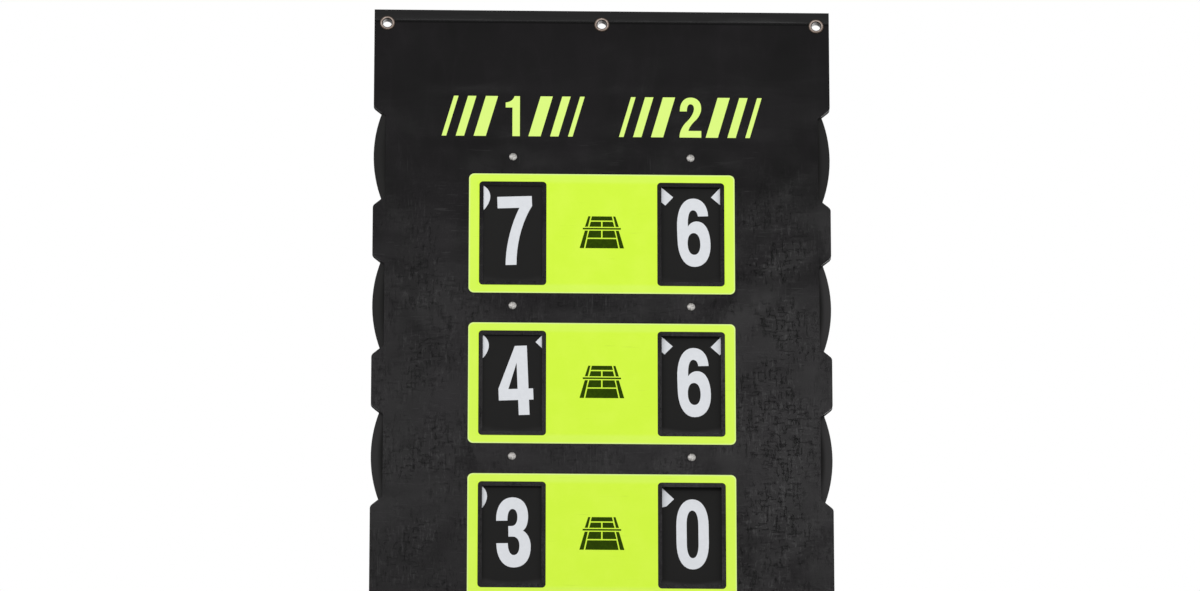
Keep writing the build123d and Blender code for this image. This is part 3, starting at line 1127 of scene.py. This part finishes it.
def slab(contours, face, thick):
    """Closed flat print: contours filled at the depth face, and again thick behind it,
    with a wall of quads round each contour. The first contour is the outside, the others
    are holes. The walls face outwards, whichever way a contour runs."""
    loops = [np.asarray(contour) for contour in contours]
    flat = np.vstack(loops)
    count = len(flat)
    # The filler joins points nearer than 3e-5, so it gets millimetres about the middle
    middle = flat.mean(axis=0)
    filled = tessellate_polygon(
        [[Vector((*point, 0.0)) for point in (loop - middle) / MM] for loop in loops]
    )
    triangles = np.array(filled)
    a, b, c = (flat[triangles[:, n]] for n in range(3))
    area = (b[:, 0] - a[:, 0]) * (c[:, 1] - a[:, 1]) - (b[:, 1] - a[:, 1]) * (c[:, 0] - a[:, 0])
    triangles[area < 0] = triangles[area < 0][:, ::-1]
    walls, start = [], 0
    for number, loop in enumerate(loops):
        here = start + np.arange(len(loop))
        following = np.roll(here, -1)
        turn = np.sum(loop[:, 0] * np.roll(loop[:, 1], -1) - np.roll(loop[:, 0], -1) * loop[:, 1])
        if (turn > 0) != (number == 0):
            here, following = following, here
        walls.append(np.stack([following, here, here + count, following + count], axis=1))
        start += len(loop)
    front = np.stack([flat[:, 0], np.full(count, face), flat[:, 1]], axis=1)
    back = front + np.array([0.0, thick, 0.0])
    faces = [list(t) for t in triangles] + [list(t[::-1] + count) for t in triangles]
    faces += [list(w) for group in walls for w in group]
    return np.vstack([front, back]), faces


def join(slabs):
    """One list of points and faces out of several."""
    points, faces, start = [], [], 0
    for some, cells in slabs:
        points.append(some)
        faces += [[int(n) + start for n in cell] for cell in cells]
        start += len(some)
    return np.vstack(points), faces


def bar(left, right, low, high, slant=0.0):
    """Contour of a bar whose top stands further right than its foot, by slant."""
    lean = slant / 2
    return [(left - lean, low), (right - lean, low), (right + lean, high), (left + lean, high)]


def turned_about(points, angle, centre):
    """Points of the x-z plane turned counter-clockwise about a centre, seen from the front."""
    c, s = math.cos(angle), math.sin(angle)
    x, z = points[:, 0] - centre[0], points[:, 1] - centre[1]
    return np.stack([centre[0] + c * x - s * z, centre[1] + s * x + c * z], axis=1)


def add_print(name, signs, behind, sizes, material):
    """A flat print on the board. Each sign is a list of contours, and lies on the face at
    the depth behind."""
    thick = sizes.print_thickness
    points, faces = join([slab(contours, behind - thick, thick) for contours in signs])
    add_piece(name, points, faces, "board", material)


class SCOREBOARD_OT_numerals(ScoreboardOperator, bpy.types.Operator):
    """Eight printed numerals on each disc, an eighth of a turn apart"""

    bl_idname = "scoreboard.numerals"
    bl_label = "Numerals"

    def execute(self, context):
        sizes = self.sizes
        white = finish_of("numeral_print", numeral_finish, self.colours)
        scale = sizes.numeral_height / TALL
        for body, (shown, off, lean) in SHOWN.items():
            side, _, row = body.split("_")
            pivot = PIVOTS[body]
            foot = np.array([pivot.x, pivot.z - sizes.numeral_reach])
            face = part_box(f"{side}_number_disc_{row}")[0].y - sizes.print_thickness
            slabs = []
            for number in range(NUMERALS_PER_DISC):
                stand = off + lean if number == shown else off
                angle = math.radians(stand) + FULL_TURN * (number - shown) / NUMERALS_PER_DISC
                contours = [draw(c) * scale + foot for c in NUMERALS[number]]
                upright, faces = slab(contours, face, sizes.print_thickness)
                upright[:, ::2] = turned_about(upright[:, ::2], angle, (pivot.x, pivot.z))
                slabs.append((upright, faces))
            points, faces = join(slabs)
            add_piece(f"{body}_numerals", points, faces, body, white)
        return {"FINISHED"}


class SCOREBOARD_OT_headings(ScoreboardOperator, bpy.types.Operator):
    """Plain column numbers with slanted bars above the two columns"""

    bl_idname = "scoreboard.headings"
    bl_label = "Headings"

    def execute(self, context):
        sizes = self.sizes
        film = finish_of("neon_film", film_finish, "neon_film", self.colours)
        foot = ROW_HEIGHTS[0] + sizes.heading_rise
        height = sizes.heading_height
        scale, wider, slant = height / TALL, [1.12, 1], 0.28 * height
        for number, (side, way) in enumerate(SIDES.items(), start=1):
            centre = way * COLUMN
            signs = [[draw(c) * scale * wider + [centre, foot] for c in NUMERALS[number]]]
            for sign in (-1, 1):
                for place, width in HEADING_BARS:
                    x = centre + sign * place
                    ends = (x - width / 2, x + width / 2)
                    signs.append([bar(*ends, foot, foot + height, slant)])
            add_print(f"{side}_heading", signs, board_low.y, sizes, film)
        return {"FINISHED"}


class SCOREBOARD_OT_emblems(ScoreboardOperator, bpy.types.Operator):
    """A court seen from one end on each panel, printed as dark fields between its lines"""

    bl_idname = "scoreboard.emblems"
    bl_label = "Court Emblems"

    def execute(self, context):
        sizes = self.sizes
        dark = finish_of("emblem_print", emblem_finish, self.colours)
        for row, (low, high) in zip(ROWS, panel_boxes()):
            signs = [[corners] for corners in self.court(high.z - sizes.emblem_drop)]
            add_print(f"court_emblem_{row}", signs, low.y, sizes, dark)
        return {"FINISHED"}

    def court(self, centre):
        """Contours of the court about this height: its fields, drawn in by half a line's
        width and by three times that beside the net, and a bar for the net."""
        # Shares: the inner side line's of half the width, the service line's of the length
        alley = 1 - 2 * COURT_ALLEY / COURT_WIDTH
        service = COURT_SERVICE / COURT_LENGTH
        half_line, half_net, posts = 0.9 * MM, 1.1 * MM, 1.08
        fields = [(-1.0, -alley, 0.0, 0.5), (-1.0, -alley, 0.5, 1.0)]
        fields += [(alley, 1.0, 0.0, 0.5), (alley, 1.0, 0.5, 1.0)]
        fields += [(-alley, alley, 0.0, 0.5 - service), (-alley, alley, 0.5 + service, 1.0)]
        for across in ((-alley, 0.0), (0.0, alley)):
            fields += [(*across, 0.5 - service, 0.5), (*across, 0.5, 0.5 + service)]
        contours = []
        for left, right, near_end, far_end in fields:
            corners = []
            for across, along, way in (
                (left, near_end, 1), (right, near_end, 1),
                (right, far_end, -1), (left, far_end, -1),
            ):
                x, z = self.seen_from_end(across, along)
                inward = half_line if across == left else -half_line
                netward = 3.0 if along == 0.5 else 1.0
                corners.append((x + inward, centre + z + way * half_line * netward))
            contours.append(corners)
        half, middle = self.seen_from_end(posts, 0.5)
        net = centre + middle
        return [*contours, bar(-half, half, net - half_net, net + half_net)]

    def seen_from_end(self, across, along):
        """Place of a point of the court: its far end is narrower, and lengths shrink with
        distance as along times (1 + deep) over (1 + deep times along)."""
        deep, narrow, tall = 0.55, 0.62, 0.78
        half = self.sizes.emblem_width / 2
        share = along * (1 + deep) / (1 + deep * along)
        x = across * half * (1 - (1 - narrow) * share)
        return x, 2 * half * tall * (share - 0.5)


# ---- Metal ----


def turned_pieces(name, profile, centres, sides, material, closed=False):
    """Surfaces of revolution about axes along Y: each point of the profile, a radius and
    a depth, goes round each centre. The attribute holds the cosine and sine of the angle,
    and the way along the profile in millimetres from its foremost ring."""
    angle = np.linspace(0, FULL_TURN, sides, endpoint=False)
    profile = np.asarray(profile)
    r, y = profile[:, 0, None], profile[:, 1, None]
    steps = np.linalg.norm(np.diff(profile, axis=0), axis=1)
    way = np.concatenate([[0.0], np.cumsum(steps)]) / MM
    way = way - way[np.argmin(profile[:, 1])]
    groups, attributes = [], []
    for x, z in centres:
        grid = np.stack([x + r * np.cos(angle), y + 0 * angle, z + r * np.sin(angle)], axis=-1)
        quads = quads_of(grid, wrap_rows=closed, wrap_columns=True)
        groups.append((grid.reshape(-1, 3), quads))
        turn = np.broadcast_arrays(np.cos(angle), np.sin(angle), way[:, None])
        attributes.append(np.stack(turn, axis=-1).reshape(-1, 3))
    points, faces = join(groups)
    made = add_piece(name, points, faces, "board", material, turned=np.vstack(attributes))
    weld(made)
    return made


def arc(centre, radii, start, end, count):
    """Points of an elliptical arc in a profile, angles in degrees from the +radius side."""
    t = np.radians(np.linspace(start, end, count))
    return np.stack([centre[0] + radii[0] * np.cos(t), centre[1] + radii[1] * np.sin(t)], axis=1)


def dimple(profile, depth, width):
    """Hollow in the middle of a profile: depth times e to the power of minus the square
    of radius over width."""
    return depth * np.exp(-((profile[:, 0] / width) ** 2))


class SCOREBOARD_OT_rivets(ScoreboardOperator, bpy.types.Operator):
    """Domed pivot rivets, one through each disc"""

    bl_idname = "scoreboard.rivets"
    bl_label = "Rivets"

    def execute(self, context):
        cap, shank, edge = rivet_high.x - COLUMN, 2.5 * MM, 0.35 * MM
        front, back = board_low.y, back_high.y
        dome = arc((0.0, front - edge), (cap, front - rivet_low.y - edge), -90, -8, 12)
        dome[:, 1] += dimple(dome, 0.22 * MM, 1.5 * MM)
        rim = arc((cap - edge, front - edge), (edge, edge), 0, 90, 4)
        rear_rim = arc((cap - edge, back + edge), (edge, edge), -90, 0, 4)
        rear = arc((0.0, back + edge), (cap, rivet_high.y - back - edge), 8, 90, 10)
        rear[:, 1] -= dimple(rear, 0.5 * MM, 2.2 * MM)
        profile = np.vstack([dome, rim, [(shank, front), (shank, back)], rear_rim, rear])
        steel = finish_of("plated_steel", steel_finish, self.colours)
        centres = [(pivot.x, pivot.z) for pivot in PIVOTS.values()]
        sides = self.sizes.lathe_sides
        made = turned_pieces("rivet_heads", profile, centres, sides, steel)
        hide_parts("pivot_rivets")
        return {"FINISHED"}


class SCOREBOARD_OT_eyelets(ScoreboardOperator, bpy.types.Operator):
    """Rolled eyelets in the hem, each with a washer behind it"""

    bl_idname = "scoreboard.eyelets"
    bl_label = "Eyelets"

    def execute(self, context):
        brass = finish_of("coppery_brass", brass_finish, self.colours)
        centres = [(place, 0.0) for place in eyelet_places()]
        sides = self.sizes.lathe_sides
        flange = (washer_high.z - washer_low.z) / 2
        bore, barrel, edge, curl = 6.0 * MM, 6.7 * MM, 0.3 * MM, 1.2 * MM
        front, back = board_low.y, washer_high.y
        crest, roll = front - eyelet_low.y, eyelet_high.y - back
        middle = ((bore + flange) / 2, front - edge)
        profile = np.vstack([
            [(bore, back), (bore, back - edge)],
            arc(middle, ((flange - bore) / 2, crest - edge), -180, 0, 17),
            arc((flange - edge, front - edge), (edge, edge), 20, 90, 4),
            [(barrel, front), (barrel, back)],
            arc((bore + curl, back), (curl, roll), 0, 180, 11),
        ])
        made = turned_pieces("eyelet_rings", profile, centres, sides, brass)
        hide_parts("eyelets")
        soft, room = 0.2 * MM, 0.1 * MM
        inner, outer = barrel + room + soft, flange - soft
        low, high = washer_low.y + soft, washer_high.y - soft
        corners = ((inner, low, 180), (outer, low, -90), (outer, high, 0), (inner, high, 90))
        washer = np.vstack([
            arc((radius, depth), (soft, soft), start, start + 90, 4)
            for radius, depth, start in corners
        ])
        made = turned_pieces(
            "eyelet_washer_rings", washer, centres, sides, brass, closed=True,
        )
        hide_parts("eyelet_washers")
        return {"FINISHED"}


# ---- Stage ----

# Each lamp's setting and its share of it, its place and its size
LAMPS = {
    "key_lamp": ("key", 1.0, (-1.9, -2.3, 0.9), 1.6),
    "fill_lamp": ("fill", 1.0, (2.2, -2.2, -0.1), 1.6),
    "left_sheen_lamp": ("sheen", 0.42, (-0.28, -2.3, 0.29), 0.35),
    "right_sheen_lamp": ("sheen", 0.58, (0.38, -2.3, 0.29), 0.35),
    "rear_lamp": ("behind", 1.0, (1.0, 2.6, -0.6), 2.2),
}


class SCOREBOARD_OT_stage(ScoreboardOperator, bpy.types.Operator):
    """Camera, pale floor, soft lamps and a white surround"""

    bl_idname = "scoreboard.stage"
    bl_label = "Stage"

    def execute(self, context):
        scene, stage = context.scene, context.scene.scoreboard_stage
        scene.view_settings.view_transform = "Standard"
        self.add_camera(scene, stage)
        self.add_floor(stage)
        self.add_sky(scene, stage)
        middle = Vector((0.0, 0.0, (board_low.z + board_high.z) / 2))
        for name, (setting, share, place, size) in LAMPS.items():
            self.add_lamp(name, share * getattr(stage, setting), place, size, middle)
        return {"FINISHED"}

    def add_camera(self, scene, stage):
        """Camera on a sphere round its target, looking at it."""
        turn, rise = stage.azimuth, stage.elevation
        level = math.cos(rise)
        back = Vector((math.sin(turn) * level, -math.cos(turn) * level, math.sin(rise)))
        data = bpy.data.cameras.new("camera")
        data.lens = stage.lens
        data.sensor_width = 36.0
        data.clip_end = 60.0
        camera = bpy.data.objects.new("camera", data)
        camera.location = Vector(stage.target) + stage.distance * back
        camera.rotation_mode = "QUATERNION"
        camera.rotation_quaternion = (-back).to_track_quat("-Z", "Y")
        scene.collection.objects.link(camera)
        scene.camera = camera

    def add_floor(self, stage):
        """Round floor: rings of points about the middle, from the smallest outwards, which
        one face fills."""
        sides, rings, smallest = 96, 4, 0.02
        angle = np.linspace(0, FULL_TURN, sides, endpoint=False)
        radius = np.linspace(smallest, stage.floor_radius, rings)[:, None]
        places = (radius * np.cos(angle), radius * np.sin(angle), -stage.floor_drop)
        grid = np.stack(np.broadcast_arrays(*places), axis=-1)
        faces = [*quads_of(grid, wrap_columns=True).tolist(), list(range(sides))]
        mesh = bpy.data.meshes.new("floor")
        mesh.from_pydata(grid.reshape(-1, 3).tolist(), [], faces)
        mesh.materials.append(floor_finish(self.colours))
        floor = bpy.data.objects.new("floor", mesh)
        bpy.context.scene.collection.objects.link(floor)
        weld(floor)

    def add_sky(self, scene, stage):
        """White for what the camera and the reflections see, dimmer for the light it gives."""
        world = bpy.data.worlds.new("surround")
        world.use_nodes = True
        scene.world = world
        nodes = Nodes(world.node_tree)
        seen = nodes.node("ShaderNodeLightPath", {}, {}, "Is Camera Ray")
        path = seen.socket.node
        for name in ("Is Glossy Ray", "Is Transmission Ray"):
            seen = seen.math("MAXIMUM", Wire(nodes, path.outputs[name]))
        strength = nodes.node(
            "ShaderNodeMapRange", {}, {"Value": seen, "To Min": stage.sky, "To Max": 1.0},
        )
        background = nodes.tree.nodes["Background"]
        background.inputs["Color"].default_value = (1.0, 1.0, 1.0, 1.0)
        nodes.tree.links.new(strength.socket, background.inputs["Strength"])

    def add_lamp(self, name, power, place, size, aim):
        """Square soft lamp that points at aim."""
        data = bpy.data.lights.new(name, "AREA")
        data.energy = power
        data.size = size
        lamp = bpy.data.objects.new(name, data)
        lamp.location = place
        lamp.rotation_mode = "QUATERNION"
        lamp.rotation_quaternion = (aim - Vector(place)).to_track_quat("-Z", "Y")
        lamp.visible_camera = False
        bpy.context.scene.collection.objects.link(lamp)


class SCOREBOARD_PT_sidebar(bpy.types.Panel):
    """Operators, sizes and colours of the scoreboard"""

    bl_idname = "SCOREBOARD_PT_sidebar"
    bl_label = "Scoreboard"
    bl_space_type = "VIEW_3D"
    bl_region_type = "UI"
    bl_category = "Scoreboard"

    def draw(self, context):
        layout = self.layout
        for operator in OPERATORS:
            layout.operator(operator.bl_idname)
        for group in GROUPS:
            settings = getattr(context.scene, group)
            column = layout.column()
            for name in settings.__annotations__:
                column.prop(settings, name)


GROUPS = {
    "scoreboard_sizes": ScoreboardSizes,
    "scoreboard_colours": ScoreboardColours,
    "scoreboard_stage": ScoreboardStage,
}
OPERATORS = (
    SCOREBOARD_OT_stage,
    SCOREBOARD_OT_eyelets,
    SCOREBOARD_OT_rivets,
    SCOREBOARD_OT_front_sheet,
    SCOREBOARD_OT_back_sheet,
    SCOREBOARD_OT_spacers,
    SCOREBOARD_OT_panels,
    SCOREBOARD_OT_discs,
    SCOREBOARD_OT_numerals,
    SCOREBOARD_OT_headings,
    SCOREBOARD_OT_emblems,
)


def register():
    """Add the groups, the operators and the panel."""
    for group in GROUPS.values():
        bpy.utils.register_class(group)
    for cls in (*OPERATORS, SCOREBOARD_PT_sidebar):
        bpy.utils.register_class(cls)
    for name, group in GROUPS.items():
        setattr(bpy.types.Scene, name, PointerProperty(type=group))


def unregister():
    """Take them away again."""
    for name in GROUPS:
        delattr(bpy.types.Scene, name)
    for cls in (SCOREBOARD_PT_sidebar, *reversed(OPERATORS)):
        bpy.utils.unregister_class(cls)
    for group in GROUPS.values():
        bpy.utils.unregister_class(group)


def main():
    """Make every piece and the stage."""
    register()
    for operator in OPERATORS:
        getattr(bpy.ops.scoreboard, operator.bl_idname.split(".")[1])()


if __name__ == "__main__":
    main()
